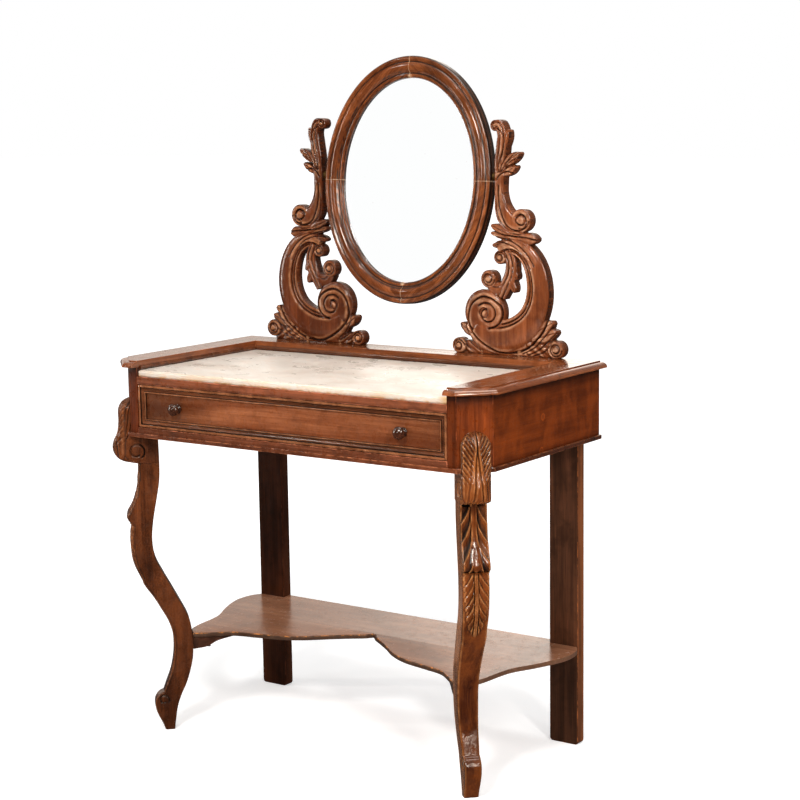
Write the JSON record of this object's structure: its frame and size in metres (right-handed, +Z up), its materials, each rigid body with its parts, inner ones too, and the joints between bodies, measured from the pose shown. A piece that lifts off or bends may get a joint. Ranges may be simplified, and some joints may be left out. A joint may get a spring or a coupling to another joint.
{
  "type": "washstand",
  "caption": "Washstand with a marble top in a wooden surround, a full-width drawer, carved cabriole front legs, a low shaped shelf and an oval mirror that tilts between scroll standards.",
  "frame": {"origin": "on the floor, under the middle of the whole piece as it stands", "axes": "+Z up, the front faces -Y, +X to the viewer's right"},
  "size_m": [0.909, 0.4814, 1.3861],
  "materials": {
    "carcass_wood": "satin varnish",
    "carved_wood": "worn gloss varnish",
    "frame_wood": "gloss varnish",
    "top_wood": "gloss varnish",
    "shelf_wood": "gloss varnish",
    "knob_wood": "gloss varnish",
    "plain_wood": "bare",
    "backboard": "bare",
    "marble": "polished",
    "mirror_glass": "silvered",
    "iron": "dull",
    "brass": "aged"
  },
  "bodies": {
    "stand": {"side_panel_left": "carcass_wood", "side_panel_right": "carcass_wood", "corner_post_left": "carcass_wood", "corner_post_right": "carcass_wood", "back_panel": "plain_wood", "upper_rail": "carcass_wood", "lower_rail": "carcass_wood", "foot_moulding_front": "carcass_wood", "foot_moulding_left": "carcass_wood", "foot_moulding_right": "carcass_wood", "drawer_runner_left": "plain_wood", "drawer_runner_right": "plain_wood", "drawer_guide_left": "plain_wood", "drawer_guide_right": "plain_wood", "drawer_kicker_left": "plain_wood", "drawer_kicker_right": "plain_wood", "marble_bearer": "plain_wood", "back_corner_block_left": "plain_wood", "back_corner_block_right": "plain_wood", "drawer_stops": "plain_wood", "top_rail_left": "top_wood", "top_rail_right": "top_wood", "top_rail_back": "top_wood", "marble_slab": "marble", "front_leg_left": "carved_wood", "front_leg_right": "carved_wood", "leg_screws": "iron", "back_leg_left": "carcass_wood", "back_leg_right": "carcass_wood", "shelf": "shelf_wood", "shelf_block_left": "carcass_wood", "shelf_block_right": "carcass_wood", "shelf_screws": "iron", "standard_left": "carved_wood", "standard_right": "carved_wood", "standard_dowels": "plain_wood", "pivot_pin_left": "brass", "pivot_pin_right": "brass"},
    "mirror": {"frame_segment_top_left": "frame_wood", "frame_segment_top_right": "frame_wood", "frame_segment_bottom_left": "frame_wood", "frame_segment_bottom_right": "frame_wood", "mirror_glass": "mirror_glass", "mirror_backboard": "backboard", "mirror_sprigs": "iron", "pivot_bush_left": "brass", "pivot_bush_right": "brass"},
    "drawer": {"drawer_front": "carcass_wood", "drawer_front_moulding": "carcass_wood", "drawer_side_left": "plain_wood", "drawer_side_right": "plain_wood", "drawer_back": "plain_wood", "drawer_bottom": "plain_wood", "knob_left": "knob_wood", "knob_right": "knob_wood"}
  },
  "joints": [
    {"name": "mirror_tilt", "type": "hinge", "parent": "stand", "child": "mirror", "pos_m": [0, 0.21048, 1.1425], "axis": [1, 0, 0], "range_deg": [-55, 65]},
    {"name": "drawer_slide", "type": "slide", "parent": "stand", "child": "drawer", "axis": [0, -1, 0], "range_m": [0, 0.3]}
  ]
}
